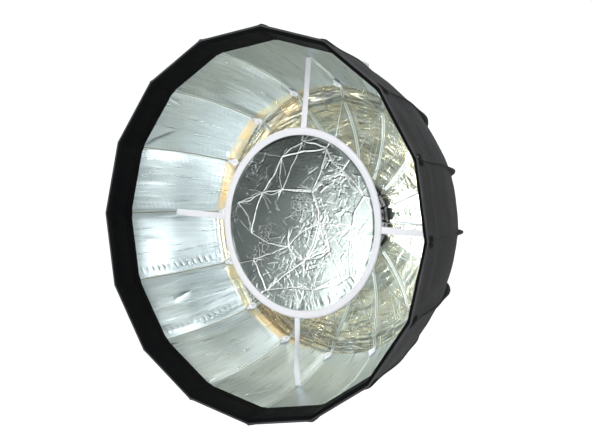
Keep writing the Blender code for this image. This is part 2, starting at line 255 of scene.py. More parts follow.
def shell_height(gore, s, t):
    """The black cloth lies just outside the lining, nearly flat from rib to rib."""
    v = (t - 0.5) * width_at(s)
    edge = np.minimum(t, 1 - t) * width_at(s)
    held = ease(edge, 0.002, 0.02)
    waves = 0.0016 * layered(s / 0.10, v / 0.06, 211 + gore)
    waves = waves + 0.0006 * noise(s / 0.02, v / 0.05, 231 + gore)
    belly = 0.0045 * np.sin(pi * t) * ease(s, 0.02, 0.12) * (1 - ease(s, S_BAND, S_MOUTH - 0.005))
    hem = 0.0007 * ease(s, S_MOUTH - 0.056, S_MOUTH - 0.053)
    peak = 0.0022 * np.exp(-edge / 0.007)
    return CLOTH + belly + hem + held * waves * (1 - ease(s, S_BAND, S_MOUTH)) + peak


def band_height(gore, s, t):
    """The rim band covers the lining's edge and rolls outwards at the mouth to meet the shell."""
    v = (t - 0.5) * width_at(s)
    edge = np.minimum(t, 1 - t) * width_at(s)
    roll = np.sqrt(np.clip((S_MOUTH - s) / 0.005, 0, 1))
    waves = 0.0006 * layered(s / 0.03, v / 0.03, 311 + gore) * ease(edge, 0.002, 0.02)
    return CLOTH * 0.5 * (1 - roll) + (LINING_LIFT - 0.0014) * roll + waves


# How far apart the places are that a panel's slope is measured between.
NORMAL_STEP = 0.0008


def grid_faces(rows, columns):
    """The four corners of each cell of a grid stored row by row."""
    corner = (np.arange(rows - 1)[:, None] * columns + np.arange(columns - 1)[None, :]).ravel()
    return np.stack([corner, corner + 1, corner + columns + 1, corner + columns], 1)


def mesh_object(name, points, faces, look, facts=None, normals=None):
    """A smooth piece from lists of points and faces. Facts are arrays that its material reads."""
    mesh = bpy.data.meshes.new(name)
    mesh.from_pydata(points, [], faces)
    mesh.materials.append(look)
    mesh.shade_smooth()
    for key, values in (facts or {}).items():
        kind, field = ("FLOAT", "value") if values.ndim == 1 else ("FLOAT_VECTOR", "vector")
        layer = mesh.attributes.new(key, kind, "POINT")
        layer.data.foreach_set(field, values.astype(np.float32).ravel())
    if normals is not None:
        mesh.normals_split_custom_set_from_vertices(normals.tolist())
    made = bpy.data.objects.new(name, mesh)
    bpy.context.scene.collection.objects.link(made)
    return made


def cloth_panel(name, rib, s_values, columns, height, look, inside):
    """The skin from half-way to one neighbour, over the rib, to half-way to the other."""
    before = (rib - 1) % RIBS
    t = np.concatenate([np.linspace(0.5, 1.0, columns)[:-1], np.linspace(0.0, 0.5, columns)])
    gore = np.concatenate([np.full(columns - 1, before), np.full(columns, rib)])
    s, t = (a.ravel() for a in np.meshgrid(s_values, t, indexing="ij"))
    gore = np.tile(gore, len(s_values))
    points, normals = np.empty((len(s), 3)), np.empty((len(s), 3))
    for g in (before, rib):
        here = gore == g
        sg, tg = s[here], t[here]

        def surface(ss, tt, g=g):
            return skin_places(g, ss, tt, height(g, ss, tt))

        dt = NORMAL_STEP / width_at(sg)
        along = surface(sg + NORMAL_STEP, tg) - surface(sg - NORMAL_STEP, tg)
        across = surface(sg, tg + dt) - surface(sg, tg - dt)
        points[here] = surface(sg, tg)
        normals[here] = np.cross(along, across)
    normals /= np.linalg.norm(normals, axis=1)[:, None]
    faces = grid_faces(len(s_values), 2 * columns - 1)
    if inside:
        faces = faces[:, ::-1]
    else:
        normals = -normals
    v = (np.where(t > 0.5, t - 1.0, t)) * width_at(s)
    facts = {"cloth": np.stack([s, v, np.full(len(s), float(rib))], 1)}
    if inside:
        # The lining carries painted shade for its creases and puckers.
        here, there = lining_painted_shade(rib, s, t), lining_painted_shade(before, s, t)
        facts["crease_shade"] = np.where(gore == rib, here, there)
    return mesh_object(name, points.tolist(), faces.tolist(), look, facts, normals)


def tangent(angle):
    return Vector((-sin(angle), 0.0, cos(angle)))


def draw_in(piece):
    """Gives the piece a mesh of its own."""
    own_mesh(piece)


def attach_panel(piece, rib):
    """The panel rides on its rib and gets a mesh of its own."""
    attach(piece, f"rib_{RIB_IDS[rib]}_body")
    draw_in(piece)


# ---- node materials ----
class Nodes:
    """A material being made, with short calls for the nodes that it needs."""

    def __init__(self, name, **sockets):
        self.material = bpy.data.materials.new(name)
        self.material.use_nodes = True
        self.tree = self.material.node_tree
        self.shader = self.tree.nodes["Principled BSDF"]
        for key, value in sockets.items():
            self.shader.inputs[key.replace("_", " ")].default_value = value

    def add(self, kind, inputs=None, **settings):
        node = self.tree.nodes.new(kind)
        for key, value in settings.items():
            setattr(node, key, value)
        for key, value in (inputs or {}).items():
            self.put(node.inputs[key], value)
        return node

    def put(self, socket, value):
        if isinstance(value, bpy.types.NodeSocket):
            self.tree.links.new(value, socket)
        else:
            socket.default_value = value

    def place(self):
        return self.add("ShaderNodeTexCoord").outputs["Object"]

    def fact(self, name, output="Vector"):
        return self.add("ShaderNodeAttribute", attribute_name=name).outputs[output]

    def axes(self, vector):
        return self.add("ShaderNodeSeparateXYZ", {"Vector": vector}).outputs

    def scaled(self, vector, scale):
        node = self.add("ShaderNodeVectorMath", operation="MULTIPLY")
        self.put(node.inputs[0], vector)
        self.put(node.inputs[1], scale)
        return node.outputs[0]

    def math(self, operation, first, second=0.0, third=0.0):
        node = self.add("ShaderNodeMath", operation=operation)
        for socket, value in zip(node.inputs, (first, second, third)):
            self.put(socket, value)
        return node.outputs[0]

    def noise(self, vector, scale, detail=4.0, roughness=0.55):
        inputs = {"Vector": vector, "Scale": scale, "Detail": detail, "Roughness": roughness}
        return self.add("ShaderNodeTexNoise", inputs).outputs[0]

    def cells(self, vector, scale, feature="DISTANCE_TO_EDGE", output="Distance"):
        inputs = {"Vector": vector, "Scale": scale}
        return self.add("ShaderNodeTexVoronoi", inputs, feature=feature).outputs[output]

    def span(self, value, low, high, to_low=0.0, to_high=1.0):
        inputs = {"Value": value, "From Min": low, "From Max": high}
        inputs.update({"To Min": to_low, "To Max": to_high})
        return self.add("ShaderNodeMapRange", inputs, interpolation_type="SMOOTHSTEP").outputs[0]

    def mix(self, amount, first, second):
        node = self.add("ShaderNodeMix", data_type="RGBA")
        self.put(node.inputs[0], amount)
        self.put(node.inputs[6], first)
        self.put(node.inputs[7], second)
        return node.outputs[2]

    def bump(self, height, strength, distance, below=None):
        inputs = {"Height": height, "Strength": strength, "Distance": distance}
        if below is not None:
            inputs["Normal"] = below
        return self.add("ShaderNodeBump", inputs).outputs[0]

    def waves(self, value, pitch):
        """A smooth 0 to 1 wave that repeats every pitch."""
        turned = self.math("MULTIPLY", value, 2 * pi / pitch)
        return self.math("MULTIPLY_ADD", self.math("SINE", turned), 0.5, 0.5)

    def colour(self, value):
        self.put(self.shader.inputs["Base Color"], value)

    def rough(self, value):
        self.put(self.shader.inputs["Roughness"], value)

    def normal(self, value):
        self.put(self.shader.inputs["Normal"], value)


def rgb(*values):
    return (*values, 1.0)


def lining_material():
    """Silver cloth with a fine woven grid. In the dish a gold tint carries painted warm lamp light, and
    painted shade darkens its folds and the sharp creases.
    """
    made = Nodes("silver_lining", Metallic=0.93)
    cloth, place = made.fact("cloth"), made.place()
    along, across, _ = made.axes(cloth)
    streaks = made.noise(made.scaled(cloth, (9.0, 160.0, 7.0)), 1.0, 5.0)
    patches = made.noise(place, 9.0, 3.0)
    silver = made.mix(made.span(streaks, 0.3, 0.7), rgb(0.500, 0.582, 0.610), rgb(0.620, 0.698, 0.724))
    # In the dish, a gold tint with painted warm lamp light, stronger and more orange on the left side.
    to_side = made.axes(place)["X"]
    left = made.span(to_side, 0.12, -0.22)
    side_tone_and_glow = made.mix(left, rgb(0.80, 0.74, 0.44), rgb(0.88, 0.64, 0.33))
    gold_and_warm_glow = made.mix(made.span(patches, 0.35, 0.65), side_tone_and_glow, rgb(0.76, 0.75, 0.54))
    shifted = made.math("SUBTRACT", along, made.span(to_side, 0.05, -0.28, -0.008, 0.024))
    in_dish = made.span(shifted, S_CLIP + 0.008, S_CLIP - 0.012)
    share = made.math("MULTIPLY_ADD", left, 0.42, 0.58)
    clouds = made.noise(made.scaled(cloth, (22.0, 9.0, 11.0)), 1.0, 3.0)
    cloudy = made.span(clouds, 0.30, 0.58, 0.35, 1.0)
    amount = made.math("MULTIPLY", in_dish, made.math("MULTIPLY", share, cloudy))
    coloured = made.mix(amount, silver, gold_and_warm_glow)
    crossed = made.noise(made.scaled(cloth, (150.0, 8.0, 13.0)), 1.0, 2.0, 0.5)
    behind = made.span(along, S_CLIP - 0.001, S_CLIP - 0.010)
    near = made.span(along, S_CLIP - 0.12, S_CLIP - 0.03, 0.35, 1.0)
    folded = made.math("MULTIPLY", made.span(crossed, 0.60, 0.40), made.math("MULTIPLY", behind, near))
    # Painted shade darkens the colour in the dish's cross folds.
    shaded = made.mix(made.math("MULTIPLY", folded, 0.62), coloured, rgb(0.16, 0.18, 0.17))
    # Painted shade darkens the colour in the sharp creases and puckers.
    crease_shade = made.math("MULTIPLY", made.fact("crease_shade", "Fac"), 0.8)
    made.colour(made.mix(crease_shade, shaded, rgb(0.10, 0.12, 0.12)))
    dull = made.span(streaks, 0.2, 0.8, 0.25, 0.38)
    made.rough(made.math("SUBTRACT", dull, made.math("MULTIPLY", behind, 0.08)))
    grid = made.math("MAXIMUM", made.waves(along, 0.0052), made.waves(across, 0.0052))
    lines = made.span(grid, 0.9, 1.0)
    crinkle = made.noise(made.scaled(cloth, (60.0, 420.0, 5.0)), 1.0, 4.0)
    fine = made.bump(lines, 0.35, 0.0004)
    gathered = made.bump(made.math("MULTIPLY", crossed, behind), 0.45, 0.0020, fine)
    made.normal(made.bump(crinkle, 0.16, 0.0010, gathered))
    return made.material


def seam_material():
    """Folded silver cloth with a row of pale thread on each side of the groove, and painted shade in
    the groove.
    """
    made = Nodes("lining_seam", Metallic=0.5)
    along, across, _ = made.axes(made.fact("cloth"))
    thread = made.span(made.waves(along, 0.0046), 0.25, 0.6)
    dirt = made.noise(made.place(), 60.0, 3.0)
    silver = made.mix(dirt, rgb(0.42, 0.48, 0.46), rgb(0.60, 0.66, 0.63))
    edged = made.mix(thread, silver, rgb(0.68, 0.73, 0.69))
    groove = made.span(made.math("ABSOLUTE", across), 0.0013, 0.0006)
    # Painted shade darkens the groove.
    made.colour(made.mix(groove, edged, rgb(0.20, 0.23, 0.22)))
    made.rough(made.span(dirt, 0.2, 0.8, 0.35, 0.55))
    made.normal(made.bump(thread, 0.4, 0.0006))
    return made.material


# The two rows of hem stitching, as distances from the mouth.
HEM_ROWS = (0.052, 0.045)


def nylon_material(name, base, worn, sheen, shine):
    """Dark woven cloth with soft creases and two rows of hem stitching near the mouth, darkened by
    painted shade.
    """
    made = Nodes(name, Sheen_Weight=sheen, Sheen_Roughness=0.45, Specular_IOR_Level=shine)
    cloth, place = made.fact("cloth"), made.place()
    along, across, _ = made.axes(cloth)
    weave = made.math("MULTIPLY", made.waves(along, 0.0011), made.waves(across, 0.0011))
    patches = made.noise(place, 14.0, 5.0)
    cloth_colour = made.mix(made.span(patches, 0.35, 0.75), rgb(*base), rgb(*worn))
    made.rough(made.span(patches, 0.2, 0.8, 0.52, 0.70))
    creases = made.noise(made.scaled(cloth, (22.0, 60.0, 9.0)), 1.0, 4.0)
    rows = [made.math("ABSOLUTE", made.math("SUBTRACT", along, S_MOUTH - back)) for back in HEM_ROWS]
    hem = made.span(made.math("MINIMUM", *rows), 0.0007, 0.0018)
    # Painted shade darkens the two rows of hem stitching.
    made.colour(made.mix(hem, rgb(*(0.3 * value for value in base)), cloth_colour))
    fine = made.bump(weave, 0.35, 0.0003)
    sewn = made.bump(hem, 1.0, 0.0030, fine)
    made.normal(made.bump(creases, 0.3, 0.002, sewn))
    return made.material


def foil_material():
    """Mirror-like foil with pale creases and fine crackle, partly wear and partly painted highlight."""
    made = Nodes("crinkled_foil", Metallic=1.0)
    crease = made.fact("crease", "Fac")
    place = made.place()
    fine_cells = made.cells(made.scaled(place, (1.0, 0.0, 1.0)), 95.0)
    bigger = made.noise(place, 13.0, 3.0)
    lines = made.math("MULTIPLY", made.span(fine_cells, 0.04, 0.0), made.span(bigger, 0.52, 0.66))
    # The pale creases and crackle are partly wear and partly painted highlight.
    worn_and_highlit = made.math("MAXIMUM", crease, made.math("MULTIPLY", lines, 0.6))
    # The foil's base colour is darker than a silver mirror's: painted shade on its reflection.
    made.colour(made.mix(worn_and_highlit, rgb(0.25, 0.29, 0.275), rgb(0.95, 0.96, 0.96)))
    made.rough(made.span(worn_and_highlit, 0.0, 1.0, 0.16, 0.5))
    crinkle = made.noise(place, 60.0, 5.0, 0.6)
    cells = made.bump(fine_cells, 0.15, 0.0004)
    made.normal(made.bump(crinkle, 0.12, 0.0008, cells))
    return made.material


def tape_material():
    made = Nodes("white_tape", Roughness=0.8, Sheen_Weight=0.2)
    place = made.place()
    weave = made.cells(place, 900.0, "F1")
    stains = made.noise(place, 30.0, 3.0)
    made.colour(made.mix(stains, rgb(0.88, 0.88, 0.92), rgb(0.93, 0.93, 0.96)))
    made.normal(made.bump(weave, 0.5, 0.0004))
    return made.material


def clip_material():
    made = Nodes("clip_plastic", Roughness=0.35)
    place = made.place()
    clouds = made.noise(place, 120.0, 2.0)
    made.colour(made.mix(clouds, rgb(0.86, 0.86, 0.90), rgb(0.94, 0.94, 0.97)))
    made.normal(made.bump(clouds, 0.1, 0.001))
    return made.material


def wire_material():
    made = Nodes("drawn_wire", Metallic=1.0)
    place = made.place()
    scratches = made.noise(place, 260.0, 3.0)
    made.colour(made.mix(scratches, rgb(0.50, 0.54, 0.53), rgb(0.70, 0.73, 0.72)))
    made.rough(made.span(scratches, 0.2, 0.8, 0.25, 0.45))
    made.normal(made.bump(scratches, 0.15, 0.0005))
    return made.material


def plastic_material():
    made = Nodes("moulded_plastic")
    place = made.place()
    grain = made.noise(place, 900.0, 2.0)
    patches = made.noise(place, 40.0, 3.0)
    made.colour(made.mix(patches, rgb(0.014, 0.014, 0.015), rgb(0.030, 0.030, 0.032)))
    made.rough(made.span(patches, 0.2, 0.8, 0.42, 0.6))
    made.normal(made.bump(grain, 0.2, 0.0004))
    return made.material


def painted_metal_material():
    made = Nodes("painted_metal", Metallic=0.2)
    place = made.place()
    speckle = made.noise(place, 1400.0, 2.0)
    wear = made.span(made.noise(place, 55.0, 6.0, 0.7), 0.62, 0.72)
    made.colour(made.mix(wear, rgb(0.022, 0.022, 0.024), rgb(0.10, 0.10, 0.10)))
    made.rough(made.span(speckle, 0.2, 0.8, 0.35, 0.5))
    made.normal(made.bump(speckle, 0.25, 0.0003))
    return made.material


def stage_material():
    """A pale floor that the camera sees as bright as the background."""
    made = Nodes("pale_floor", Roughness=0.9)
    mottle = made.noise(made.place(), 3.0, 2.0)
    made.colour(made.mix(mottle, rgb(0.84, 0.84, 0.84), rgb(0.88, 0.88, 0.88)))
    seen = made.add("ShaderNodeLightPath").outputs["Is Camera Ray"]
    made.put(made.shader.inputs["Emission Color"], rgb(1, 1, 1))
    made.put(made.shader.inputs["Emission Strength"], made.math("MULTIPLY", seen, 0.75))
    return made.material


LOOK = {
    "lining": lining_material(),
    "shell": nylon_material(
        "black_nylon", (0.007, 0.007, 0.0078), (0.019, 0.019, 0.020), sheen=0.04, shine=0.30
    ),
    "seam": seam_material(),
    "band": nylon_material(
        "band_nylon", (0.0022, 0.0026, 0.003), (0.0045, 0.005, 0.0055), sheen=0.0, shine=0.06
    ),
    "piping": nylon_material(
        "piping_nylon", (0.04, 0.04, 0.042), (0.08, 0.08, 0.083), sheen=0.1, shine=0.3
    ),
    "foil": foil_material(),
    "tape": tape_material(),
    "clip": clip_material(),
    "wire": wire_material(),
    "plastic": plastic_material(),
    "metal": painted_metal_material(),
}

# ---- camera, light and stage ----
VIEW_AZIMUTH, VIEW_ELEVATION, VIEW_ROLL = radians(36.77), radians(4.78), radians(1.75)
VIEW_DISTANCE = 3.037
VIEW_LENS = 87.2
AIM_RIGHT, AIM_UP = 0.0883, 0.0104
SENSOR_WIDTH = 36.0
FLOOR_SIZE, FLOOR_Z = 60.0, -1.05
# The room's light, and the side of the room that is darker, with how near to it the dark starts.
ROOM_COLOUR, BACKGROUND_BRIGHT = (0.96, 0.985, 1.0, 1.0), 1.1
DARK_SIDE, DARK_FROM, DARK_FULL = (-0.60, -0.80, -0.08), 0.80, 0.97
ROOM_BRIGHT, ROOM_DARK = 0.42, 0.09
# Soft round lights: place, aim, diameter and watts.
LIGHTS = {
    "key": ((1.2, -3.0, 1.9), (0.0, -0.3, 0.0), 1.6, 62),
    "side": ((2.8, -0.1, -0.2), (0.2, -0.2, 0.0), 1.4, 20),
    "foil_glow": ((-1.05, -2.95, -0.55), (0.05, DISC_Y, 0.0), 1.3, 19),
}
# The small lamp in the hub's bore that lights the dish.
LAMP_PLACE, LAMP_WATTS, LAMP_RADIUS = (0.0, -0.075, 0.0), 2.1, 0.03
LAMP_COLOUR = (0.98, 0.99, 1.0)


def make_camera():
    """The camera stands off the mouth's centre and aims a little to its right."""
    a, e, roll = VIEW_AZIMUTH, VIEW_ELEVATION, VIEW_ROLL
    back = Vector((sin(a) * cos(e), -cos(a) * cos(e), sin(e)))
    level = Vector((cos(a), sin(a), 0.0))
    upright = back.cross(level)
    right = level * cos(roll) + upright * sin(roll)
    up = upright * cos(roll) - level * sin(roll)
    mouth = Vector((0.0, MOUTH_Y, 0.0))
    place = mouth + back * VIEW_DISTANCE
    ahead = (mouth + right * AIM_RIGHT + up * AIM_UP - place).normalized()
    data = bpy.data.cameras.new("camera")
    data.lens = VIEW_LENS
    data.sensor_width = SENSOR_WIDTH
    camera = bpy.data.objects.new("camera", data)
    bpy.context.scene.collection.objects.link(camera)
    side = ahead.cross(up).normalized()
    top = side.cross(ahead)
    turn = Matrix((side, top, -ahead)).transposed()
    camera.matrix_world = Matrix.Translation(place) @ turn.to_4x4()
    bpy.context.scene.camera = camera


def area_light(name, place, aim, size, power):
    data = bpy.data.lights.new(name, "AREA")
    data.shape = "DISK"
    data.size = size
    data.energy = power
    lamp = bpy.data.objects.new(name, data)
    lamp.location = place
    lamp.rotation_euler = (Vector(aim) - Vector(place)).to_track_quat("-Z", "Y").to_euler()
    lamp.visible_camera = False
    bpy.context.scene.collection.objects.link(lamp)


def make_stage():
    """A bright room that is darker on one side, a floor, and the lights."""
    world = bpy.data.worlds.new("studio")
    bpy.context.scene.world = world
    world.use_nodes = True
    nodes, links = world.node_tree.nodes, world.node_tree.links
    shade = nodes["Background"]
    seen = nodes.new("ShaderNodeLightPath")
    way = nodes.new("ShaderNodeTexCoord")
    lean = nodes.new("ShaderNodeVectorMath")
    lean.operation = "DOT_PRODUCT"
    lean.inputs[1].default_value = DARK_SIDE
    room = nodes.new("ShaderNodeMapRange")
    room.interpolation_type = "SMOOTHSTEP"
    room.inputs["From Min"].default_value = DARK_FROM
    room.inputs["From Max"].default_value = DARK_FULL
    room.inputs["To Min"].default_value = ROOM_BRIGHT
    room.inputs["To Max"].default_value = ROOM_DARK
    strength = nodes.new("ShaderNodeMapRange")
    strength.inputs["To Max"].default_value = BACKGROUND_BRIGHT
    links.new(way.outputs["Generated"], lean.inputs[0])
    links.new(lean.outputs["Value"], room.inputs["Value"])
    links.new(room.outputs[0], strength.inputs["To Min"])
    links.new(seen.outputs["Is Camera Ray"], strength.inputs["Value"])
    links.new(strength.outputs[0], shade.inputs["Strength"])
    shade.inputs["Color"].default_value = ROOM_COLOUR
    bpy.context.scene.view_settings.view_transform = "Standard"
    bpy.ops.mesh.primitive_plane_add(size=FLOOR_SIZE, location=(0.0, 0.0, FLOOR_Z))
    floor = bpy.context.object
    floor.name = "floor"
    floor.data.materials.append(stage_material())
    for name, (place, aim, size, power) in LIGHTS.items():
        area_light(name, place, aim, size, power)
    data = bpy.data.lights.new("modelling_lamp", "POINT")
    data.energy = LAMP_WATTS
    data.color = LAMP_COLOUR
    data.shadow_soft_size = LAMP_RADIUS
    lamp = bpy.data.objects.new("modelling_lamp", data)
    lamp.location = LAMP_PLACE
    bpy.context.scene.collection.objects.link(lamp)


# ---- skin pieces ----
# The columns of points from the middle of a gore to the rib.
PANEL_COLUMNS, LINING_COLUMNS = 13, 23
# Where the lining is cut into pieces, and the rows of points in each.
SPANS = [
    ("heart", 0.0, S_DISH / 2, 36),
    ("dish_back", S_DISH / 2, S_DISH, 36),
    ("dish", S_DISH, S_CLIP - 0.055, 44),
    ("dish_front", S_CLIP - 0.055, S_CLIP, 44),
    ("wall_back", S_CLIP, S_CLIP + 0.065, 50),
    ("wall", S_CLIP + 0.065, S_CLIP + 0.130, 50),
    ("wall_front", S_CLIP + 0.130, S_CLIP + 0.200, 50),
    ("wall_rim", S_CLIP + 0.200, S_BAND + 0.002, 44),
]
# The rim's last stretch, which a piece of its own takes, and where the band's back edge lies.
S_RIM, S_BAND_BACK = S_MOUTH - 0.028, S_BAND - 0.004
BAND_SPANS = [("band_back", S_BAND_BACK, S_RIM, 14), ("band", S_RIM, S_MOUTH, 22)]
SHELL_SPANS = [
    (span, low, high, max(10, rows // 3))
    for span, low, high, rows in (
        *SPANS[:-1],
        ("wall_rim", SPANS[-1][1], S_BAND_BACK, 30),
        *BAND_SPANS,
    )
]


def make_skin():
    layers = [
        ("lining", SPANS, LINING_COLUMNS, lining_height, "lining", True, "lining_cloth"),
        ("shell", SHELL_SPANS, PANEL_COLUMNS, shell_height, "shell", False, "shell_cloth"),
        ("rim", BAND_SPANS, PANEL_COLUMNS, band_height, "band", True, "shell_cloth"),
    ]
    for rib, number in enumerate(RIB_IDS):
        for layer, spans, columns, height, look, inside, slot in layers:
            for span, low, high, rows in spans:
                name, s_values = f"{layer}_{span}_{number}", np.linspace(low, high, rows)
                piece = cloth_panel(name, rib, s_values, columns, height, LOOK[look], inside)
                attach_panel(piece, rib)
                if (layer, span) == ("lining", "wall"):
                    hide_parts(f"gore_{number}")


# ---- pieces along a rib ----
def rib_frame(angle):
    """Outward, row Y and tangent directions of a rib's plane."""
    return Vector((cos(angle), 0.0, sin(angle))), Vector((0.0, 1.0, 0.0)), tangent(angle)


def strip_along_rib(name, rib, s_values, section, look, close=False):
    """A strip with a fixed section, given as (across, height), swept along a rib's line."""
    angle = RIB_ANGLES[rib]
    r, y, away_r, away_y = on_line(s_values)
    count = len(section(s_values[0]))
    points, facts = [], []
    for n, s in enumerate(s_values):
        for across, height in section(s):
            out = r[n] + away_r[n] * height
            points.append(
                (
                    out * cos(angle) - across * sin(angle),
                    y[n] + away_y[n] * height,
                    out * sin(angle) + across * cos(angle),
                )
            )
            facts.append((s, across, rib))
    faces = grid_faces(len(s_values), count).tolist()
    if close:
        low = np.arange(len(s_values) - 1) * count
        faces += np.stack([low + count - 1, low, low + count, low + 2 * count - 1], 1).tolist()
        faces += [list(range(count))[::-1], [len(points) - count + k for k in range(count)]]
    made = mesh_object(name, points, faces, look, {"cloth": np.array(facts)})
    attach(made, f"rib_{RIB_IDS[rib]}_body")
    return made


# Half of the lining seam's section and its mirror image, in millimetres.
SEAM_SECTION = [(-3.6, 0.1), (-3.2, -0.9), (-2.4, -1.1), (-1.6, -0.5), (0.0, -0.3)]
SEAM_SECTION += [(-across, height) for across, height in SEAM_SECTION[-2::-1]]


def seam_section(s):
    """Two rolled edges with a groove between them."""
    return [(across / 1000, LINING_LIFT + height / 1000) for across, height in SEAM_SECTION]


def fin_section(s):
    """The seam's raised edge on the shell, tallest where the rib bends."""
    tall = 0.0030 + 0.0080 * float(np.exp(-(((s - S_CLIP - 0.025) / 0.055) ** 2)))
    base, top = CLOTH + 0.0012, CLOTH + tall
    half = [(-0.0022, base), (-0.0019, top), (-0.0008, top + 0.0008)]
    return half + [(-across, height) for across, height in half[::-1]]


# The lining's seam opens so far on each side of the rivet that holds the strut.
NODE_GAP = 0.008


def make_rib_dressing():
    """The lining's seams, in two runs on each rib, and the shell's raised seam outside it."""
    s_node = s_of_radius(STRUT_NODE[0])
    for rib, number in enumerate(RIB_IDS):
        runs = {
            "back": np.linspace(0.012, s_node - NODE_GAP, 60),
            "front": np.linspace(s_node + NODE_GAP, S_BAND_BACK, 90),
        }
        for run, s_values in runs.items():
            name = f"lining_seam_{run}_{number}"
            strip_along_rib(name, rib, s_values, seam_section, LOOK["seam"])
        s_values, name = np.linspace(0.02, S_MOUTH - 0.008, 90), f"seam_fin_{number}"
        strip_along_rib(name, rib, s_values, fin_section, LOOK["shell"], True)


def full_turn(steps):
    """Evenly spaced angles round a circle."""
    return [2 * pi * k / steps for k in range(steps)]


def tube_section(radius, steps=8):
    return [(radius * cos(a), radius * sin(a)) for a in full_turn(steps)]


def mirrored(shape):
    """The upper half of a flat section and its mirror image below."""
    return shape + [(u, -v) for u, v in shape[-2:0:-1]]


def sweep(name, path, sections, look, sideways, closed=False):
    """Sections, each a ring of (sideways, upward) places, carried along a path of points."""
    points, count = [], len(sections[0])
    for n, here in enumerate(path):
        after = path[(n + 1) % len(path)] if closed or n + 1 < len(path) else here
        before = path[n - 1] if closed or n else here
        ahead = (after - before).normalized()
        side = sideways[n]
        side = (side - ahead * side.dot(ahead)).normalized()
        up = ahead.cross(side)
        points += [tuple(here + side * u + up * v) for u, v in sections[n]]
    rings = len(path)
    faces = []
    for n in range(rings if closed else rings - 1):
        low, high = n * count, ((n + 1) % rings) * count
        for k in range(count):
            after = (k + 1) % count
            faces.append((low + k, low + after, high + after, high + k))
    if not closed:
        faces.append(tuple(range(count))[::-1])
        faces.append(tuple((rings - 1) * count + k for k in range(count)))
    return mesh_object(name, points, faces, look)


def rim_path(rib, count=17):
    """The mouth's edge over one rib, from half-way to one neighbour to half-way to the other."""
    mouth, height = np.full(count, S_MOUTH), 0.0012
    before = skin_places((rib - 1) % RIBS, mouth, np.linspace(0.5, 1, count), height)
    after = skin_places(rib, mouth, np.linspace(0, 0.5, count), height)
    return [Vector(p) for p in np.vstack([before[:-1], after])]


PIPING_RADIUS = 0.0021


def make_rim_piping():
    for rib, number in enumerate(RIB_IDS):
        path = rim_path(rib)
        sideways = [Vector((p.x, 0, p.z)).normalized() for p in path]
        sections = [tube_section(PIPING_RADIUS)] * len(path)
        piece = sweep(f"rim_piping_{number}", path, sections, LOOK["piping"], sideways)
        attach(piece, f"rib_{number}_body")
        draw_in(piece)


def at_rib(rib, s, across=0.0, height=0.0):
    """A row position near a rib, by distance along the wall, sideways and outward."""
    r, y, away_r, away_y = (float(v) for v in on_line(s))
    out, _, side = rib_frame(RIB_ANGLES[rib])
    return out * (r + away_r * height) + Vector((0, y + away_y * height, 0)) + side * across


CLIP_TALL, CLIP_WIDE, CLIP_TUBE, CLIP_STEPS = 0.0080, 0.0056, 0.0033, 20
CLIP_MIDDLE = S_CLIP + 0.004
CLIP_TAB = [(0.0036, 0.0), (0.003, 0.0009), (-0.003, 0.0009)]
CLIP_TAB += [(-across, -height) for across, height in CLIP_TAB]


def make_clips():
    """A milky plastic loop on each rib, where the wall turns into the dish."""
    for rib, number in enumerate(RIB_IDS):
        side = tangent(RIB_ANGLES[rib])
        path = [
            at_rib(rib, CLIP_MIDDLE + CLIP_TALL * sin(a), CLIP_WIDE * cos(a), LINING_LIFT - 0.004)
            for a in full_turn(CLIP_STEPS)
        ]
        lift = (at_rib(rib, S_CLIP, 0, -0.02) - at_rib(rib, S_CLIP)).normalized()
        sections, sideways = [tube_section(CLIP_TUBE)] * CLIP_STEPS, [lift] * CLIP_STEPS
        ring = sweep(f"clip_{number}", path, sections, LOOK["clip"], sideways, closed=True)
        tab = [
            at_rib(rib, CLIP_MIDDLE + d, 0, LINING_LIFT - 0.003 + 0.001 * cos(300 * d))
            for d in np.linspace(-0.012, 0.016, 9)
        ]
        body = sweep(f"clip_tab_{number}", tab, [CLIP_TAB] * 9, LOOK["clip"], [side] * 9)
        for piece in (ring, body):
            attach(piece, f"rib_{number}_body")


def make_pockets():
    """The black pocket that holds a rib's tip, sewn to the rim band."""
    low = S_BAND - 0.006
    s_values = np.linspace(low, S_MOUTH - 0.006, 26)
    half = [(-1.0, -0.6), (-0.8, 0.5), (-0.4, 0.9)]
    shape = [*half, (0.0, 1.1), *((-u, v) for u, v in half[::-1])]

    def section(s):
        wide = 0.011 - 0.002 * (s - low) / (S_MOUTH - low)
        return [(wide * u, LINING_LIFT - 0.0012 - 0.0012 * v) for u, v in shape]

    for rib, number in enumerate(RIB_IDS):
        name = f"tip_pocket_{number}"
        strip_along_rib(name, rib, s_values, section, LOOK["band"])


# The tip patch's half width, and its section as shares of that and of its thickness.
PATCH_HALF, PATCH_THICK = 0.0125, 0.0011
PATCH_SECTION = [(-1.0, 0.0), (-0.96, 1.0), (-0.55, 1.2), (-0.15, 1.6)]
PATCH_SECTION += [(-u, v) for u, v in PATCH_SECTION[::-1]]


def patch_section(s):
    """A sewn patch over the rib's tip, which follows the bend of the cloth on each side."""
    base = CLOTH + 0.0021
    return [
        (PATCH_HALF * u, base + PATCH_THICK * v - PATCH_HALF * abs(u) * tan(HALF))
        for u, v in PATCH_SECTION
    ]


def make_patches():
    """The stitched patches outside the mouth, over the pockets of the ribs' tips."""
    s_values = np.linspace(S_RIM, S_MOUTH - 0.004, 14)
    for rib, number in enumerate(RIB_IDS):
        name = f"tip_patch_{number}"
        piece = strip_along_rib(name, rib, s_values, patch_section, LOOK["band"])
        draw_in(piece)


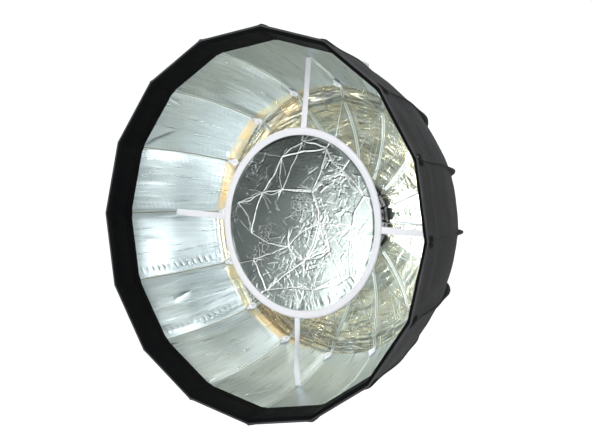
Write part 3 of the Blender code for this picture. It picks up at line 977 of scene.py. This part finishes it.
def make_tag():
    """A blank white label folded over one seam of the shell."""
    rib, s_low, s_high = 3, S_CLIP + 0.122, S_CLIP + 0.146
    s_values = np.linspace(s_low, s_high, 12)

    def section(s):
        curl = 0.0012 * sin(260 * (s - s_low))
        over = CLOTH + 0.0088 + curl
        half = [(-0.0030, CLOTH + 0.003), (-0.0028, over - 0.002), (-0.0010, over)]
        return half + [(-across, height) for across, height in half[::-1]]

    name = f"seam_tag_{RIB_IDS[rib]}"
    strip_along_rib(name, rib, s_values, section, LOOK["tape"], True)


# ---- deflector ----
BINDING_INNER = DISC_RADIUS - 0.0167
# The foil's grid, which keeps it under 200,000 triangles, and how far it goes under the binding.
FOIL_STEP, FOIL_LAP = 0.00124, 0.004
# Knots where long creases meet: their number, how far out they lie and how far apart.
KNOTS, KNOT_REACH, KNOT_GAP = 19, 0.185, 0.052
# How far a crease reaches, and the width of its pale line, which is partly wear and partly painted
# highlight.
CREASE_REACH, PALE_WIDTH = 0.008, 0.0009
# Where the foil is crackled: middle x and z, spread and number of short creases.
CRACKLED = [
    (0.045, 0.01, 0.030, 90),
    (0.10, -0.03, 0.045, 110),
    (-0.12, 0.11, 0.022, 50),
    (0.02, -0.11, 0.045, 110),
    (0.09, 0.10, 0.035, 90),
    (-0.06, -0.10, 0.04, 50),
    (0.0, 0.0, 0.09, 70),
]


def crease_lines():
    """The foil's creases: (x, z) of both ends, depth, width and paleness, which is partly wear and
    partly painted highlight.

    Long ones run between knots, often in pairs, and short ones lie in clusters.
    """
    picks = np.random.default_rng(12)
    knots = []
    while len(knots) < KNOTS:
        angle, radius = picks.uniform(0, 2 * pi), KNOT_REACH * np.sqrt(picks.uniform(0, 1))
        spot = np.array([radius * cos(angle), radius * sin(angle)])
        if all(np.linalg.norm(spot - other) > KNOT_GAP for other in knots):
            knots.append(spot)
    out = []
    for n, knot in enumerate(knots):
        by_distance = sorted(range(len(knots)), key=lambda k: np.linalg.norm(knots[k] - knot))
        nearest = by_distance[1:6]
        for k in nearest[n % 3 : n % 3 + 2]:
            deep = picks.uniform(0.0002, 0.0005) * picks.choice([-1, 1])
            bend = (knot + knots[k]) / 2 + picks.uniform(-0.010, 0.010, 2)
            out.append((knot, bend, deep, 0.0010, 0.75))
            out.append((bend, knots[k], deep, 0.0010, 0.75))
            if (n + k) % 2:
                beside = picks.uniform(-0.0045, 0.0045, 2)
                out.append((knot, bend + beside, -deep, 0.0013, 0.6))
                out.append((bend + beside, knots[k] + beside, -deep, 0.0013, 0.6))
        for k in range(4):
            turn, reach = picks.uniform(0, 2 * pi), picks.uniform(0.01, 0.045)
            end = knot + reach * np.array([cos(turn), sin(turn)])
            out.append((knot, end, picks.uniform(-0.0003, 0.0003), 0.0012, 0.5))
    for middle_x, middle_z, spread, count in CRACKLED:
        for _ in range(count):
            spot = picks.normal((middle_x, middle_z), spread)
            turn, reach = picks.uniform(0, 2 * pi), picks.uniform(0.006, 0.032)
            end = spot + reach * np.array([cos(turn), sin(turn)])
            deep, pale = picks.uniform(-0.00025, 0.00025), picks.uniform(0.05, 0.5)
            out.append((spot, end, deep, 0.0011, pale))
    return out


def foil_sheet():
    """The crinkled disc: a square grid pressed into a circle, flat again under the binding."""
    steps = int(BINDING_INNER * 2 / FOIL_STEP) // 2 * 2
    ticks = np.linspace(-1, 1, steps + 1)
    u, v = np.meshgrid(ticks, ticks, indexing="ij")
    x = u * np.sqrt(1 - v * v / 2) * (BINDING_INNER + FOIL_LAP)
    z = v * np.sqrt(1 - u * u / 2) * (BINDING_INNER + FOIL_LAP)
    x, z = x.ravel(), z.ravel()
    height = 0.0010 * layered(x / 0.12, z / 0.12, 401, 2)
    creases = np.zeros(len(x))
    wander = 0.0016 * noise(x / 0.018, z / 0.018, 431)
    for start, end, depth, width, pale in crease_lines():
        long = np.linalg.norm(end - start)
        ahead = (end - start) / long
        low, high = np.minimum(start, end) - CREASE_REACH, np.maximum(start, end) + CREASE_REACH
        near = (x > low[0]) & (x < high[0]) & (z > low[1]) & (z < high[1])
        dx, dz = x[near] - start[0], z[near] - start[1]
        along = (dx * ahead[0] + dz * ahead[1]) / long
        d = dx * ahead[1] - dz * ahead[0] + wander[near]
        window = ease(along, -0.03, 0.03) * (1 - ease(along, 0.9, 1.04))
        height[near] += depth * np.exp(-np.abs(d) / width) * window
        # Pale line along the crease: partly wear and partly painted highlight.
        paleness = pale * np.exp(-((d / PALE_WIDTH) ** 2)) * window
        creases[near] = np.maximum(creases[near], paleness)
    radius, turn = np.hypot(x, z), np.arctan2(z, x)
    gathers = noise(turn * 17, radius / 0.05, 471) + 0.6 * noise(turn * 41, radius / 0.02, 472)
    gathers = gathers * ease(noise(turn * 4.3, radius * 0, 473), -0.5, 0.5)
    low_down = 0.12 + 0.88 * ease(-z + 0.4 * x, 0.02, 0.15)
    at_edge = np.exp(-(((radius - BINDING_INNER + 0.006) / 0.020) ** 2))
    height += 0.00036 * low_down * gathers * at_edge
    height *= 1 - ease(radius, BINDING_INNER - 0.006, BINDING_INNER)
    low, high = (corner[1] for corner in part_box("deflector_foil"))
    y = (low + high) / 2 - height * 0.8
    points = np.stack([x, y, z], 1).tolist()
    faces = grid_faces(steps + 1, steps + 1).tolist()
    return mesh_object("deflector_foil_sheet", points, faces, LOOK["foil"], {"crease": creases})


# The binding's section, thicker towards its outer edge, and half its thickness.
BINDING_SHAPE = [(-1, 0), (-0.93, 0.3), (-0.6, 0.5), (0.1, 0.72), (0.6, 0.95), (0.93, 0.6), (1, 0)]
BINDING_THICK = 0.0036


def binding_ring():
    """The white tape folded over the hoop, slightly puckered by its stitching."""
    middle = (DISC_RADIUS + BINDING_INNER) / 2
    half = (DISC_RADIUS - BINDING_INNER) / 2
    path, sections, side = [], [], []
    for a in full_turn(240):
        out = Vector((cos(a), 0, sin(a)))
        path.append(out * middle + Vector((0, DISC_Y, 0)))
        side.append(out)
        pucker = 0.10 * float(noise(np.array([a * 40.0]), np.array([0.5]), 461)[0])
        sections.append(
            [
                (half * u, BINDING_THICK * v * (1 + pucker * (1 - u * u)))
                for u, v in mirrored(BINDING_SHAPE)
            ]
        )
    return sweep("deflector_binding", path, sections, LOOK["tape"], side, closed=True)


def make_foil():
    foil = foil_sheet()
    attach(foil, "deflector")
    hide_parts("deflector_foil")
    binding = binding_ring()
    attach(binding, "deflector")
    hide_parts("deflector_hoop")


# Each strap's angle round the disc, how slack it hangs and how far it is twisted.
STRAPS = {
    "right": (0.0, 0.0, 0.25),
    "top": (pi / 2, 0.0, 0.1),
    "left": (pi, 0.0, -0.2),
    "bottom": (-pi / 2, 0.9, 1.2),
}
STRAP_WIDTH, STRAP_THICK, STRAP_STEPS = 0.015, 0.0006, 40
STRAP_SHAPE = [(-1, 0), (-0.96, 0.7), (-0.5, 1), (0, 1.1), (0.5, 1), (0.96, 0.7), (1, 0)]
# Where the straps meet the ribs.
STRAP_Y = -0.2500


def make_straps():
    for name, (angle, slack, twist) in STRAPS.items():
        out, _, side = rib_frame(angle)
        start = Vector((0, DISC_Y, 0)) + out * (DISC_RADIUS - 0.009)
        low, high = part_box(f"deflector_strap_{name}")
        reach = max(abs(low[0]), abs(high[0]), abs(low[2]), abs(high[2])) - 0.001
        end = Vector((0, STRAP_Y, 0)) + out * reach
        path, sections, sideways = [], [], []
        for k in range(STRAP_STEPS + 1):
            t = k / STRAP_STEPS
            here = start.lerp(end, t)
            here += Vector((0, -0.0035 * slack * sin(pi * t), 0))
            here += side * 0.0015 * slack * sin(2 * pi * t)
            path.append(here)
            turn = twist * sin(pi * t) ** 2
            sideways.append(side * cos(turn) + Vector((0, 1, 0)) * sin(turn))
            half = STRAP_WIDTH / 2 * (1 - 0.35 * slack * sin(pi * t))
            ripple, shape = 0.0003 * sin(9 * pi * t), mirrored(STRAP_SHAPE)
            sections.append([(half * u, STRAP_THICK * v + ripple * u) for u, v in shape])
        strap = sweep(f"strap_{name}", path, sections, LOOK["tape"], sideways)
        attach(strap, "deflector")
        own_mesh(strap)
        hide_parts(f"deflector_strap_{name}")


# The material of each CAD node that is shown, by its name without the number.
NODE_LOOKS = {
    "mount_ring": "metal",
    "rib_crown": "plastic",
    "hinge_wire": "wire",
    "support_ring": "plastic",
    "latch_right": "plastic",
    "latch_left": "plastic",
    "rib": "wire",
    "strut": "wire",
}


def dress_nodes():
    for name, node in frame["nodes"].items():
        kind = name if name in NODE_LOOKS else name.rsplit("_", 1)[0]
        if kind in NODE_LOOKS:
            if not node.material_slots:
                node.data.materials.append(None)
            for slot in node.material_slots:
                slot.material = LOOK[NODE_LOOKS[kind]]


make_camera()
make_stage()
make_skin()
make_rib_dressing()
make_rim_piping()
make_clips()
make_pockets()
make_patches()
make_tag()
make_foil()
make_straps()
dress_nodes()

bpy.context.view_layer.update()
